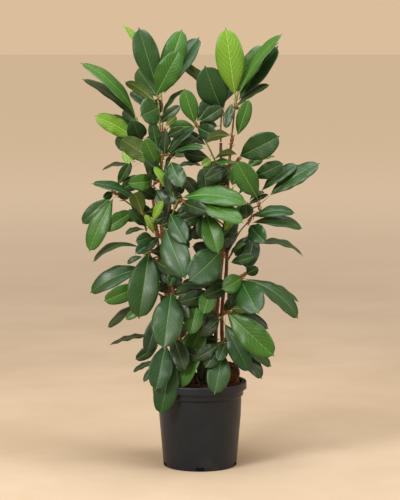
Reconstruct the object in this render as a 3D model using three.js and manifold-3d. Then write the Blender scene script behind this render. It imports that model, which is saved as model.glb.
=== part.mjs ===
// An African fig (Ficus cyathistipula) in a round nursery pot: a moulded pot, the potting
// soil, two older root balls, five woody stems and the leafy shoots that grow from them.
//
// Millimetres, +Z up. The origin is the centre of the pot's underside, and -Y is the front.
import * as THREE from 'three';
import { mergeVertices } from 'three/addons/utils/BufferGeometryUtils.js';
import Module from 'manifold-3d';

// ---------------------------------------------------------------- driving dimensions
const POT_RIM_RADIUS = 120;
const POT_HEIGHT = 219;
const POT_BASE_RADIUS = 94;
const POT_WALL = 2.2;
const POT_FLOOR = 3;
const RIM_DEPTH = 19;
const COLLAR_RADIUS = 111.5;
const COLLAR_BOTTOM = 184;
const BODY_TOP_RADIUS = 107;
const DRAIN_SLOTS = 5;
const DRAIN_SLOT = { width: 22, height: 9, depth: 14, bottom: 2.2 };
const BODY_MIDDLE = 130;
const POT_SEGMENTS = 32;

const BALL_BOTTOM = 150;
const BALL_SEGMENTS = 12;

const SOIL_BELOW_RIM = 7;
const GAP = 0.3;
const SMALLEST_EDGE = 0.06;

const STEM_SIDES = 6;
const TWIG_SIDES = 5;
const STEM_RADIUS = { bottom: 5.4, top: 3.6 };
const TWIG_RADIUS = { bottom: 3.1, top: 2.1 };
const BUD_LENGTH = 5;

// The layout below is drawn as a front elevation, as the eye sees it from this place, so a
// point that lies nearer than the drawing plane (y = 0) is drawn larger than it is.
const EYE = { distance: 5250, height: 1145 };

// ---------------------------------------------------------------- leaf shape
// Ages run from pale new leaves to old ones, and an older leaf is thicker.
const NEW = 0;
const YOUNG = 1;
const MATURE = 2;
const OLD = 3;
const LEAF_THICKNESS = [1.2, 1.5, 1.8, 2.1];
const LEAF_COLOUR = [0x9bbf45, 0x4f8f22, 0x2f5e30, 0x254a2b];
const BLADE_RINGS = [
  { along: 0, share: 0 },
  { along: 0.36, share: 0.9 },
  { along: 0.74, share: 0.86 },
];
const PETIOLE_HALF_WIDTH = 1.6;
const PETIOLE_THICKNESS = 1.4;
const LEAF_WIDTH_PER_LENGTH = 0.4;
const NARROWEST_LEAF = 0.37;
const BLADE_FOLD = 0.14;
const LEAST_EDGE_RAISE = 0.4;
const STALK_SHARE = 0.12;
const LEAN_SHARE = 0.8;
const DROOP = 20;

// A leaf stalk leaves its twig at one of these parts of each segment, past the bare first ones.
const PARTS_PER_SEGMENT = 6;
const BARE_PARTS = 4;

// How a leaf may be moved in depth until it hangs clear: its tip in steps, its base by one of these.
const TIP_SHIFT = { step: 9, steps: 9 };
const BASE_SHIFTS = [0, 5, -5, 10, -10, 16, -16];

// A leaf shows its upper side (TOP) or its underside (UNDER) to the front.
const TOP = 1;
const UNDER = -1;

// ---------------------------------------------------------------- the plant's layout
// Stems: points [x, y, z], from inside the root ball to the stem's end.
const STEMS = {
  stem_left_front: [[-36, -16, 166], [-48, -20, 300], [-66, -24, 440], [-84, -26, 520], [-78, -28, 600]],
  stem_left_middle: [
    [-48, -2, 166], [-62, -4, 330], [-76, -6, 450], [-90, -6, 540], [-100, -6, 640], [-98, -6, 790],
    [-100, -6, 860],
  ],
  stem_left_rear: [
    [-60, 14, 166], [-76, 16, 330], [-88, 18, 450], [-104, 20, 540], [-119, 22, 680], [-136, 22, 775],
  ],
  stem_right_front: [
    [44, -12, 166], [40, -14, 325], [50, -14, 470], [66, -14, 620], [72, -14, 740], [77, -14, 812],
  ],
  stem_right_rear: [
    [66, 12, 166], [56, 12, 363], [58, 12, 428], [68, 12, 513], [66, 12, 600], [54, 12, 740], [53, 12, 830],
  ],
};

// Shoots: the stem that bears the shoot, the height where it leaves the stem, the rest of its
// twig as [x, y, z], and its leaves. A shoot with a twin is repeated, a little smaller, on the
// far side of the plant. A leaf row is
//   [base x, base z,  tip x, tip z,  reach, shown width, arch, side shown, age]
// where reach is how far the tip comes forward of the base, and shown width is the part of
// the leaf's width that turns to the front.
const SHOOTS = {
  left_crown_front: {
    stem: 'stem_left_middle', from: 850, twig: [[-104, -12, 915], [-108, -16, 968]],
    leaves: [
      [-112, 950, -52, 1063, 40, 62, 12, TOP, YOUNG],
      [-110, 972, -155, 1121, 8, 64, 8, TOP, MATURE],
      [-105, 918, -150, 899, 95, 72, 8, TOP, MATURE],
      [-114, 932, -190, 988, 20, 30, 10, UNDER, MATURE],
      [-102, 880, -50, 925, 25, 26, 6, TOP, OLD],
    ],
  },
  left_crown_rear: {
    stem: 'stem_left_middle', from: 800, twig: [[-94, 14, 880], [-98, 20, 955]],
    leaves: [
      [-106, 972, -193, 1129, -10, 14, 10, TOP, NEW],
      [-106, 945, -160, 1020, -75, 50, 8, TOP, MATURE],
      [-104, 900, -178, 960, -30, 30, 8, TOP, OLD],
      [-96, 968, -45, 1118, -10, 60, 8, TOP, YOUNG],
      [-90, 955, -2, 1098, -45, 52, 10, TOP, MATURE],
      [-94, 895, -37, 967, -20, 12, 10, TOP, MATURE],
    ],
  },
  left_fan: {
    stem: 'stem_left_rear', from: 765, twig: [[-150, 20, 845], [-160, 14, 893]],
    leaves: [
      [-164, 895, -302, 1036, 16, 30, 22, TOP, YOUNG],
      [-164, 888, -299, 992, -6, 24, 14, TOP, MATURE],
      [-158, 880, -197, 912, -45, 26, 5, TOP, OLD],
      [-158, 838, -268, 899, 35, 44, 12, TOP, NEW],
      [-150, 842, -228, 900, 5, 38, 8, TOP, MATURE],
    ],
  },
  left_shoulder: {
    stem: 'stem_left_rear', from: 740, twig: [[-146, 6, 790], [-166, -2, 812]],
    leaves: [
      [-150, 838, -172, 886, 75, 50, 8, TOP, MATURE],
      [-186, 822, -181, 776, 20, 30, 4, TOP, NEW],
      [-172, 768, -252, 761, -12, 9, 12, TOP, OLD],
      [-168, 800, -214, 846, -40, 34, 6, TOP, MATURE],
    ],
  },
  left_inner_top: {
    stem: 'stem_left_middle', from: 750, twig: [[-97, -30, 780], [-96, -34, 806]],
    leaves: [
      [-106, 776, -204, 842, 40, 52, 14, UNDER, MATURE],
      [-107, 768, -140, 842, 70, 40, 10, TOP, YOUNG],
      [-108, 815, -122, 886, 15, 30, 6, TOP, MATURE],
      [-90, 800, -88, 864, 10, 24, 5, TOP, OLD],
      [-86, 800, -12, 874, 20, 22, 8, TOP, OLD],
      [-84, 790, 12, 820, 40, 10, 16, TOP, MATURE],
      [-90, 760, -54, 822, 30, 12, 5, TOP, OLD],
      [-74, 780, -45, 716, 45, 46, 10, TOP, MATURE],
    ],
  },
  left_neck: {
    stem: 'stem_left_middle', from: 820, twig: [[-92, -24, 848], [-88, -36, 862]],
    leaves: [
      [-84, 846, -40, 868, 45, 26, 6, TOP, OLD],
      [-88, 872, -60, 898, 40, 20, 5, UNDER, OLD],
      [-60, 768, 6, 773, -20, 12, 8, TOP, MATURE],
    ],
  },
  centre_top: {
    stem: 'stem_right_rear', from: 745, twig: [[36, -2, 790], [6, -8, 850], [-10, -12, 877]],
    leaves: [
      [-13, 880, -40, 967, 12, 45, 8, TOP, YOUNG],
      [-17, 872, -80, 870, 50, 36, 8, TOP, YOUNG],
      [-4, 868, 45, 845, 75, 42, 10, TOP, OLD],
      [14, 825, -38, 862, 10, 24, 5, TOP, OLD],
      [-8, 884, 34, 940, -55, 44, 8, TOP, MATURE],
      [42, 810, -12, 802, 65, 32, 8, TOP, YOUNG],
      [28, 788, 4, 772, 35, 22, 4, TOP, NEW],
    ],
  },
  right_crown_front: {
    stem: 'stem_right_front', from: 800, twig: [[84, -16, 880], [92, -20, 946]],
    leaves: [
      [88, 950, 65, 1121, 35, 72, 12, TOP, NEW],
      [95, 957, 160, 1080, -22, 46, 8, TOP, YOUNG],
      [99, 952, 207, 1107, -6, 26, 12, TOP, YOUNG],
      [100, 940, 196, 1077, 22, 50, 8, TOP, MATURE],
      [92, 918, 176, 980, 10, 16, 8, TOP, OLD],
      [82, 930, 65, 866, 30, 24, 5, TOP, OLD],
      [96, 850, 124, 940, 25, 36, 6, TOP, YOUNG],
    ],
  },
  right_crown_left: {
    stem: 'stem_right_rear', from: 815, twig: [[53, 10, 880], [58, 6, 922]],
    leaves: [
      [53, 912, 12, 1024, 55, 80, 14, TOP, MATURE],
      [50, 932, -52, 1038, -8, 26, 8, UNDER, MATURE],
      [44, 872, -2, 884, -15, 36, 6, TOP, OLD],
      [60, 930, 96, 1040, -60, 50, 8, TOP, MATURE],
    ],
  },
  right_neck: {
    stem: 'stem_right_front', from: 790, twig: [[80, -36, 822], [82, -44, 842]],
    leaves: [
      [78, 848, 14, 838, 70, 32, 10, UNDER, OLD],
      [94, 800, 38, 792, 75, 26, 10, UNDER, OLD],
    ],
  },
  right_shoulder: {
    stem: 'stem_right_front', from: 745, twig: [[84, -20, 772], [96, -26, 786]],
    leaves: [
      [102, 796, 202, 847, 50, 66, 12, TOP, MATURE],
      [122, 772, 160, 797, -35, 28, 6, TOP, MATURE],
      [126, 768, 192, 798, -10, 12, 8, TOP, YOUNG],
      [94, 776, 40, 781, 65, 13, 5, TOP, YOUNG],
      [64, 788, 27, 688, 30, 28, 8, TOP, MATURE],
    ],
  },
  right_sprig: {
    stem: 'stem_right_front', from: 694, twig: [[80, -32, 708], [84, -38, 716]],
    leaves: [
      [82, 722, 97, 772, 20, 30, 6, TOP, YOUNG],
      [92, 724, 109, 747, 30, 18, 3, TOP, NEW],
    ],
  },
  right_hand: {
    stem: 'stem_right_front', from: 640, twig: [[104, -20, 652], [150, -20, 670]],
    leaves: [
      [180, 697, 304, 781, 12, 44, 10, TOP, MATURE],
      [158, 708, 248, 776, -14, 28, 10, TOP, MATURE],
      [136, 742, 212, 778, 35, 42, 8, TOP, MATURE],
      [145, 692, 92, 784, 45, 58, 12, TOP, YOUNG],
      [126, 682, 165, 706, 10, 10, 8, TOP, OLD],
      [122, 670, 175, 699, -12, 13, 4, TOP, OLD],
      [100, 700, 122, 722, 20, 10, 5, TOP, MATURE],
    ],
  },
  left_side: {
    stem: 'stem_left_rear', from: 615, twig: [[-150, 14, 652], [-190, 8, 682], [-216, 4, 702]],
    leaves: [
      [-209, 724, -176, 782, 20, 28, 5, TOP, MATURE],
      [-222, 702, -247, 690, 35, 20, 3, TOP, MATURE],
      [-208, 706, -180, 688, 45, 22, 5, TOP, OLD],
      [-222, 686, -285, 551, 25, 52, 12, TOP, YOUNG],
      [-226, 690, -302, 622, 0, 36, 14, TOP, MATURE],
    ],
  },
  left_arm: {
    stem: 'stem_left_rear', from: 600, twig: [[-132, 2, 628], [-142, -6, 645]],
    leaves: [
      [-146, 670, -277, 730, 8, 14, 16, TOP, MATURE],
      [-146, 650, -168, 704, 45, 40, 8, UNDER, MATURE],
      [-168, 656, -250, 607, 20, 38, 10, TOP, YOUNG],
      [-146, 630, -222, 640, -10, 20, 8, TOP, OLD],
      [-138, 618, -186, 657, 60, 26, 5, TOP, MATURE],
      [-142, 608, -192, 597, 12, 11, 8, TOP, OLD],
    ],
  },
  left_arch: {
    stem: 'stem_left_rear', from: 690, twig: [[-116, 0, 712], [-118, -14, 724]],
    leaves: [
      [-122, 734, -184, 727, 40, 44, 24, TOP, YOUNG],
      [-104, 690, -158, 716, 45, 34, 8, TOP, OLD],
      [-98, 745, -140, 790, 55, 30, 8, TOP, MATURE],
    ],
  },
  left_inner: {
    stem: 'stem_left_middle', from: 575, twig: [[-106, -22, 598], [-114, -30, 612]],
    leaves: [
      [-120, 630, -95, 683, 25, 22, 5, TOP, NEW],
      [-118, 598, -140, 648, 20, 18, 5, TOP, NEW],
      [-124, 590, -164, 578, 70, 36, 6, TOP, MATURE],
      [-106, 588, -166, 547, 45, 32, 8, TOP, MATURE],
    ],
  },
  left_low_arm: {
    stem: 'stem_left_rear', from: 520, twig: [[-126, 6, 534], [-142, -4, 548]],
    leaves: [
      [-152, 562, -278, 527, 0, 11, 24, TOP, MATURE],
      [-147, 538, -187, 520, 12, 14, 12, TOP, OLD],
      [-148, 508, -284, 446, 15, 46, 22, TOP, MATURE],
      [-130, 552, -157, 378, 55, 80, 16, TOP, MATURE],
    ],
  },
  left_lower_arm: {
    stem: 'stem_left_rear', from: 430, twig: [[-112, 8, 446], [-136, -6, 456]],
    leaves: [
      [-150, 466, -247, 424, 30, 46, 12, TOP, YOUNG],
      [-144, 420, -240, 357, -14, 17, 8, TOP, OLD],
      [-138, 410, -192, 377, 25, 22, 6, TOP, YOUNG],
    ],
  },
  left_front: {
    stem: 'stem_left_front', from: 590, twig: [[-72, -44, 640], [-58, -56, 682]],
    leaves: [
      [-66, 690, -118, 771, 10, 20, 6, TOP, NEW],
      [-44, 690, 122, 679, 40, 46, 20, TOP, YOUNG],
      [-44, 682, 114, 628, 72, 42, 16, TOP, YOUNG],
      [-50, 672, 8, 655, 35, 30, 6, TOP, OLD],
      [-76, 648, -35, 572, 60, 50, 8, TOP, MATURE],
    ],
  },
  left_front_low: {
    stem: 'stem_left_front', from: 560, twig: [[-92, -46, 590], [-92, -56, 606]],
    leaves: [
      [-88, 610, -38, 482, 55, 72, 14, TOP, MATURE],
      [-64, 630, 8, 646, -10, 42, 8, TOP, OLD],
      [-62, 512, -78, 463, 20, 27, 5, TOP, MATURE],
      [-74, 690, -90, 752, 15, 20, 5, TOP, OLD],
    ],
  },
  left_low_front: {
    stem: 'stem_left_front', from: 430, twig: [[-72, -46, 436], [-80, -60, 440]],
    leaves: [
      [-74, 446, -93, 300, 60, 80, 14, TOP, MATURE],
      [-104, 396, -137, 288, 25, 42, 8, TOP, OLD],
      [-108, 310, -166, 272, 25, 30, 6, TOP, OLD],
    ],
  },
  left_skirt: {
    stem: 'stem_left_front', from: 300, twig: [[-66, -46, 308], [-78, -64, 314]],
    leaves: [
      [-88, 312, -114, 192, 60, 60, 10, TOP, MATURE],
      [-70, 282, -102, 128, 74, 62, 14, TOP, MATURE],
      [-68, 332, -39, 247, 40, 46, 6, TOP, OLD],
      [-96, 268, -146, 214, 20, 18, 5, TOP, OLD],
    ],
  },
  left_back_sprig: {
    stem: 'stem_left_middle', from: 300, twig: [[-86, 10, 318], [-104, 16, 326]],
    leaves: [
      [-124, 334, -234, 313, -5, 9, 8, TOP, OLD],
      [-112, 268, -173, 240, 5, 12, 5, TOP, OLD],
    ],
  },
  centre_low: {
    stem: 'stem_right_front', from: 400, twig: [[22, -36, 414], [8, -50, 420]],
    leaves: [
      [-5, 427, -26, 337, 45, 48, 8, TOP, YOUNG],
      [28, 458, 9, 391, 50, 44, 6, TOP, YOUNG],
      [30, 466, -48, 470, 30, 28, 8, TOP, OLD],
      [26, 446, -52, 422, 5, 40, 10, TOP, OLD],
      [18, 388, -50, 196, 62, 64, 14, TOP, YOUNG],
    ],
  },
  right_front: {
    stem: 'stem_right_front', from: 600, twig: [[34, -36, 642], [16, -48, 662]],
    leaves: [
      [15, 650, 47, 547, 45, 54, 10, TOP, YOUNG],
      [6, 645, 3, 582, 15, 30, 5, TOP, OLD],
      [20, 690, 8, 768, 15, 42, 5, TOP, OLD],
      [2, 690, -40, 744, 20, 34, 6, TOP, OLD],
    ],
  },
  right_middle: {
    stem: 'stem_right_front', from: 530, twig: [[60, -40, 542], [58, -50, 548]],
    leaves: [
      [52, 552, -25, 477, 95, 82, 12, TOP, MATURE],
      [62, 606, 84, 642, 25, 22, 4, TOP, NEW],
      [76, 540, 118, 575, 0, 9, 8, TOP, YOUNG],
      [80, 524, 140, 541, 25, 28, 6, TOP, MATURE],
    ],
  },
  right_elbow: {
    stem: 'stem_right_rear', from: 545, twig: [[92, 2, 588], [108, -6, 612], [123, -10, 628]],
    leaves: [
      [119, 641, 117, 675, 75, 36, 6, TOP, MATURE],
      [134, 641, 243, 651, 20, 28, 16, TOP, MATURE],
      [136, 626, 263, 611, 4, 30, 20, TOP, MATURE],
      [128, 618, 166, 577, 60, 48, 8, TOP, MATURE],
    ],
  },
  right_elbow_low: {
    stem: 'stem_right_rear', from: 525, twig: [[94, 6, 566], [140, 2, 602]],
    leaves: [
      [141, 598, 118, 508, 30, 46, 8, TOP, OLD],
      [140, 570, 268, 543, -20, 13, 20, TOP, MATURE],
    ],
  },
  right_low: {
    stem: 'stem_right_front', from: 450, twig: [[84, -26, 472], [112, -34, 492]],
    leaves: [
      [106, 484, 58, 456, 65, 48, 8, TOP, YOUNG],
      [105, 478, 150, 394, 60, 74, 12, TOP, MATURE],
      [118, 480, 258, 380, 15, 38, 22, TOP, MATURE],
      [122, 470, 254, 422, -12, 16, 12, TOP, MATURE],
      [119, 496, 148, 512, 45, 30, 5, TOP, OLD],
      [62, 398, 98, 440, 30, 30, 6, TOP, OLD],
    ],
  },
  right_skirt: {
    stem: 'stem_right_front', from: 370, twig: [[60, -38, 388], [66, -50, 394]],
    leaves: [
      [70, 396, 192, 281, 60, 72, 14, TOP, YOUNG],
      [64, 364, 128, 240, 50, 52, 10, TOP, MATURE],
      [76, 398, 178, 354, 5, 36, 8, TOP, OLD],
      [80, 404, 118, 404, 30, 26, 5, UNDER, MATURE],
    ],
  },
  right_skirt_low: {
    stem: 'stem_right_front', from: 300, twig: [[58, -42, 318], [64, -60, 324]],
    leaves: [
      [76, 334, 185, 254, -20, 28, 10, TOP, MATURE],
      [84, 318, 160, 222, 20, 36, 10, TOP, OLD],
      [66, 316, 46, 270, 20, 32, 5, TOP, OLD],
      [58, 290, 37, 182, 62, 60, 12, TOP, MATURE],
      [30, 296, 48, 256, 20, 30, 4, TOP, YOUNG],
      [10, 296, 5, 212, 10, 28, 4, TOP, OLD],
    ],
  },
};

// The far side of the plant: shoots whose twin grows there, and how the twin differs.
const TWINS = [
  'left_crown_front', 'left_shoulder', 'left_inner_top', 'right_crown_front', 'right_shoulder',
  'right_hand', 'left_arm', 'left_inner', 'left_low_arm', 'left_front', 'left_front_low',
  'left_low_front', 'left_skirt', 'centre_low', 'right_front', 'right_middle', 'right_low',
  'right_skirt_low', 'right_skirt',
];
const TWIN = {
  higher: 18, shrink: 0.88, deeper: 40, rootShare: 0.6, minReach: 45, moreReach: 1.2, minWidth: 26,
};

// Twigs turned about their own line (radians), so that no stalk leaves along a twig's edge.
const TURNED_TWIGS = {
  shoot_centre_top: 0.3,
  shoot_left_fan: 0.3,
  shoot_left_arm_back: 0.3,
  shoot_right_crown_front_back: 0.3,
};

// Inner leaves fill the plant below its crowns. Each shoot bears some older ones that reach
// towards the middle of the plant, behind a front shoot and far out behind a twin.
const INNER = { below: 790, length: 66, width: 38, stalk: 14, arch: 8 };
const INNER_REACH = { front: [-24, -58, 12], twin: [84, 62] };
const INNER_TILT = { lowest: -65, highest: 35 };
const GOLDEN_SHARE = 0.618;

// ---------------------------------------------------------------- manifold helpers
const wasm = await Module();
wasm.setup();

function toManifold(geometry) {
  const bare = geometry.clone();
  bare.deleteAttribute('normal');
  bare.deleteAttribute('uv');
  const merged = mergeVertices(bare, 1e-4);
  return new wasm.Manifold(new wasm.Mesh({
    numProp: 3,
    vertProperties: new Float32Array(merged.attributes.position.array),
    triVerts: new Uint32Array(merged.index.array),
  }));
}

function largestBody(manifold) {
  return manifold.decompose().reduce((best, body) => (body.volume() > best.volume() ? body : best));
}

function toGeometry(manifold) {
  const mesh = manifold.getMesh();
  const geometry = new THREE.BufferGeometry();
  geometry.setAttribute('position', new THREE.BufferAttribute(mesh.vertProperties, 3));
  geometry.setIndex(new THREE.BufferAttribute(mesh.triVerts, 1));
  geometry.computeVertexNormals();
  return geometry;
}

// ---------------------------------------------------------------- lofted shapes
// A closed skin over rings of equal size. The last ring may be a single point.
function loft(rings) {
  const positions = rings.flat().flatMap((point) => [point.x, point.y, point.z]);
  const sides = rings[0].length;
  const index = [];
  const at = (ring, side) => ring * sides + (side % sides);
  for (let side = 1; side < sides - 1; side += 1) {
    index.push(at(0, 0), at(0, side + 1), at(0, side));
  }
  const last = rings.length - 1;
  for (let ring = 0; ring < last; ring += 1) {
    for (let side = 0; side < sides; side += 1) {
      if (rings[ring + 1].length === 1) {
        index.push(at(ring, side), at(ring, side + 1), at(ring + 1, 0));
      } else {
        index.push(at(ring, side), at(ring, side + 1), at(ring + 1, side + 1));
        index.push(at(ring, side), at(ring + 1, side + 1), at(ring + 1, side));
      }
    }
  }
  const geometry = new THREE.BufferGeometry();
  geometry.setAttribute('position', new THREE.Float32BufferAttribute(positions, 3));
  geometry.setIndex(index);
  return geometry;
}

// A round, tapering branch along a curve, with a blunt pointed end.
function branch(curve, { bottom, top }, sides, steps, { grow = 0, turn = 0 } = {}) {
  const frames = curve.computeFrenetFrames(steps);
  const rings = curve.getSpacedPoints(steps).map((centre, step) => {
    const radius = THREE.MathUtils.lerp(bottom, top, step / steps) + grow;
    return Array.from({ length: sides }, (_, side) => {
      const angle = (side / sides) * 2 * Math.PI + turn;
      return centre.clone()
        .addScaledVector(frames.normals[step], radius * Math.cos(angle))
        .addScaledVector(frames.binormals[step], radius * Math.sin(angle));
    });
  });
  rings.push([curve.getPointAt(1).addScaledVector(frames.tangents[steps], BUD_LENGTH + grow)]);
  return loft(rings);
}

// ---------------------------------------------------------------- pot, soil and root balls
function lathe(points, segments) {
  const profile = points.map(([radius, height]) => new THREE.Vector2(radius, height));
  return new THREE.LatheGeometry(profile, segments).rotateX(Math.PI / 2);
}

const INNER_TOP_RADIUS = COLLAR_RADIUS - POT_WALL;
const INNER_BODY_RADIUS = BODY_TOP_RADIUS - POT_WALL;
const INNER_BASE_RADIUS = POT_BASE_RADIUS - POT_WALL + 1;

function makePot() {
  const rimBottom = POT_HEIGHT - RIM_DEPTH;
  const shell = toManifold(lathe([
    [0, 0],
    [POT_BASE_RADIUS, 0],
    [POT_BASE_RADIUS + 1, 2],
    [BODY_TOP_RADIUS - 2, BODY_MIDDLE],
    [BODY_TOP_RADIUS, COLLAR_BOTTOM - 4],
    [COLLAR_RADIUS, COLLAR_BOTTOM],
    [COLLAR_RADIUS, POT_HEIGHT - 5],
    [POT_RIM_RADIUS - POT_WALL, POT_HEIGHT - 3],
    [POT_RIM_RADIUS - POT_WALL, rimBottom],
    [POT_RIM_RADIUS, rimBottom],
    [POT_RIM_RADIUS, POT_HEIGHT - 2.5],
    [POT_RIM_RADIUS - 2, POT_HEIGHT],
    [COLLAR_RADIUS, POT_HEIGHT],
    [INNER_TOP_RADIUS, POT_HEIGHT - 3],
    [INNER_TOP_RADIUS, COLLAR_BOTTOM + 1],
    [INNER_BODY_RADIUS, COLLAR_BOTTOM - 3],
    [INNER_BODY_RADIUS - 2, BODY_MIDDLE],
    [INNER_BASE_RADIUS, POT_FLOOR],
    [0, POT_FLOOR],
  ], POT_SEGMENTS));
  let pot = shell;
  for (let slot = 0; slot < DRAIN_SLOTS; slot += 1) {
    const box = new THREE.BoxGeometry(DRAIN_SLOT.width, DRAIN_SLOT.depth, DRAIN_SLOT.height);
    box.translate(0, -POT_BASE_RADIUS, DRAIN_SLOT.bottom + DRAIN_SLOT.height / 2);
    box.rotateZ((slot / DRAIN_SLOTS) * 2 * Math.PI);
    pot = pot.subtract(toManifold(box));
  }
  return pot;
}

// An older root ball stands proud of the soil: a rough mound of fibre.
function rootBall(x, y, radius, top, grow = 0) {
  const reach = radius + grow;
  return toManifold(lathe([
    [0, BALL_BOTTOM - grow],
    [reach * 0.86, BALL_BOTTOM - grow],
    [reach, BALL_BOTTOM + 20],
    [reach * 0.98, top - 28],
    [reach * 0.86, top - 10 + grow],
    [reach * 0.5, top + grow],
    [0, top + grow],
  ], BALL_SEGMENTS).translate(x, y, 0));
}

const ROOT_BALLS = {
  root_ball_left: [-50, 0, 42, 250],
  root_ball_right: [59, 2, 42, 266],
};

function makeSoil() {
  const top = POT_HEIGHT - SOIL_BELOW_RIM;
  let soil = toManifold(lathe([
    [0, POT_FLOOR + GAP],
    [INNER_BASE_RADIUS - GAP, POT_FLOOR + GAP],
    [INNER_BODY_RADIUS - 2 - GAP, BODY_MIDDLE],
    [INNER_BODY_RADIUS - GAP, COLLAR_BOTTOM - 3],
    [INNER_TOP_RADIUS - GAP - 1, COLLAR_BOTTOM + 3],
    [INNER_TOP_RADIUS - GAP - 1, top - 3],
    [INNER_TOP_RADIUS - 14, top],
    [0, top + 3],
  ], POT_SEGMENTS));
  for (const ball of Object.values(ROOT_BALLS)) {
    soil = soil.subtract(rootBall(...ball, GAP));
  }
  return soil;
}

// ---------------------------------------------------------------- stems and twigs
function lay([x, y, z]) {
  const spread = 1 + y / EYE.distance;
  return new THREE.Vector3(x * spread, y, EYE.height + (z - EYE.height) * spread);
}

function stemCurve(name) {
  return new THREE.CatmullRomCurve3(STEMS[name].map(lay), false, 'centripetal');
}

function makeStem(name, grow = 0) {
  return toManifold(branch(stemCurve(name), STEM_RADIUS, STEM_SIDES, STEMS[name].length * 2, { grow }));
}

function pointAtHeight(curve, height) {
  let low = 0;
  let high = 1;
  for (let round = 0; round < 24; round += 1) {
    const middle = (low + high) / 2;
    if (curve.getPointAt(middle).z < height) {
      low = middle;
    } else {
      high = middle;
    }
  }
  return curve.getPointAt(low);
}

function twigCurve(shoot) {
  const start = pointAtHeight(stemCurve(shoot.stem), shoot.from);
  return new THREE.CatmullRomCurve3([start, ...shoot.twig.map(lay)], false, 'centripetal');
}

// ---------------------------------------------------------------- leaves
// The point of a twig's centre line that is nearest to a leaf, past the twig's first part.
function nearestPoint(centres, target) {
  const candidates = [];
  for (let segment = 0; segment < centres.length - 1; segment += 1) {
    for (let part = 0; part <= PARTS_PER_SEGMENT; part += 1) {
      const share = part / PARTS_PER_SEGMENT;
      candidates.push(centres[segment].clone().lerp(centres[segment + 1], share));
    }
  }
  return candidates.slice(BARE_PARTS).reduce((best, point) => (
    point.distanceTo(target) < best.distanceTo(target) ? point : best));
}

// How far a leaf comes out: a drooping leaf that is drawn short for its width must lean out
// of the drawing plane, because it is as long as any other leaf of that width.
function naturalReach([baseX, baseZ, tipX, tipZ, reach, shown]) {
  const drawn = Math.hypot(tipX - baseX, tipZ - baseZ);
  const real = shown / LEAF_WIDTH_PER_LENGTH;
  if (tipZ > baseZ - DROOP || real <= drawn) {
    return reach;
  }
  return Math.max(reach, LEAN_SHARE * Math.sqrt(real ** 2 - drawn ** 2));
}

// Turns a leaf row into its real place: where its stalk leaves the twig, where the blade
// starts, its tip, its width and the direction that its upper side faces.
function placeLeaf(row, centres, facing, shift) {
  const [baseX, baseZ, tipX, tipZ, reach, shown, arch, side, age] = row;
  const drawnBase = new THREE.Vector3(baseX, 0, baseZ);
  const root = nearestPoint(centres, drawnBase.setY(centres[centres.length - 1].y));
  const comesOut = naturalReach(row);
  const baseY = root.y - facing * STALK_SHARE * Math.abs(comesOut) + shift.base;
  const base = lay([baseX, baseY, baseZ]);
  const tip = lay([tipX, root.y - facing * comesOut + shift.tip, tipZ]);
  const chord = tip.clone().sub(base);
  const length = chord.length();
  const width = Math.max(shown, length * NARROWEST_LEAF);
  const along = chord.clone().normalize();
  const turn = Math.acos(Math.min(1, shown / width));
  const rising = new THREE.Vector3(-Math.sign(chord.x || 1) * chord.z, 0, Math.abs(chord.x)).normalize();
  const up = new THREE.Vector3(0, -facing * side * Math.cos(turn), 0)
    .addScaledVector(rising, Math.sin(turn));
  up.addScaledVector(along, -up.dot(along)).normalize();
  return { root, base, tip, width, arch, up, along, age, across: along.clone().cross(up) };
}

function leafRing(centre, leaf, upward, halfWidth, thickness) {
  const raise = Math.max(BLADE_FOLD * halfWidth, thickness / 2 + LEAST_EDGE_RAISE);
  const edge = centre.clone().addScaledVector(upward, raise);
  return [
    edge.clone().addScaledVector(leaf.across, -halfWidth),
    centre.clone().addScaledVector(upward, thickness / 2),
    edge.clone().addScaledVector(leaf.across, halfWidth),
    centre.clone().addScaledVector(upward, -thickness / 2),
  ];
}

// A leaf: a thin folded blade on an arching midrib, and its stalk.
function leafSolid(leaf, { stalk = true, grow = 0 } = {}) {
  const thickness = LEAF_THICKNESS[leaf.age] + 2 * grow;
  const middle = leaf.base.clone().lerp(leaf.tip, 0.5).addScaledVector(leaf.up, 2 * leaf.arch);
  const midrib = new THREE.QuadraticBezierCurve3(leaf.base, middle, leaf.tip);
  const rings = [];
  if (stalk) {
    const direction = leaf.base.clone().sub(leaf.root).normalize();
    const across = direction.clone().cross(leaf.up).normalize();
    const upward = across.clone().cross(direction);
    rings.push(leafRing(leaf.root, { across }, upward, PETIOLE_HALF_WIDTH, PETIOLE_THICKNESS));
  }
  for (const { along, share } of BLADE_RINGS) {
    const tangent = midrib.getTangentAt(along);
    const upward = leaf.across.clone().cross(tangent).normalize();
    const halfWidth = Math.max(PETIOLE_HALF_WIDTH, (share * leaf.width) / 2) + grow;
    rings.push(leafRing(midrib.getPointAt(along), leaf, upward, halfWidth, thickness));
  }
  rings.push([leaf.tip.clone().addScaledVector(leaf.along, grow)]);
  return toManifold(loft(rings));
}

// Depth shifts that are tried, nearest first, until a leaf hangs clear of its neighbours.
function* depthShifts() {
  for (let step = 0; step <= TIP_SHIFT.steps; step += 1) {
    for (const sign of step ? [1, -1] : [1]) {
      for (const base of BASE_SHIFTS) {
        yield { tip: sign * step * TIP_SHIFT.step, base };
      }
    }
  }
}

function touches(solid, others) {
  const box = solid.boundingBox();
  return others.some((other) => {
    const apart = [0, 1, 2].some((axis) => box.max[axis] < other.box.min[axis]
      || box.min[axis] > other.box.max[axis]);
    return !apart && solid.intersect(other.solid).volume() > 1e-6;
  });
}

const obstacle = (solid) => ({ solid, box: solid.boundingBox() });

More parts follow.
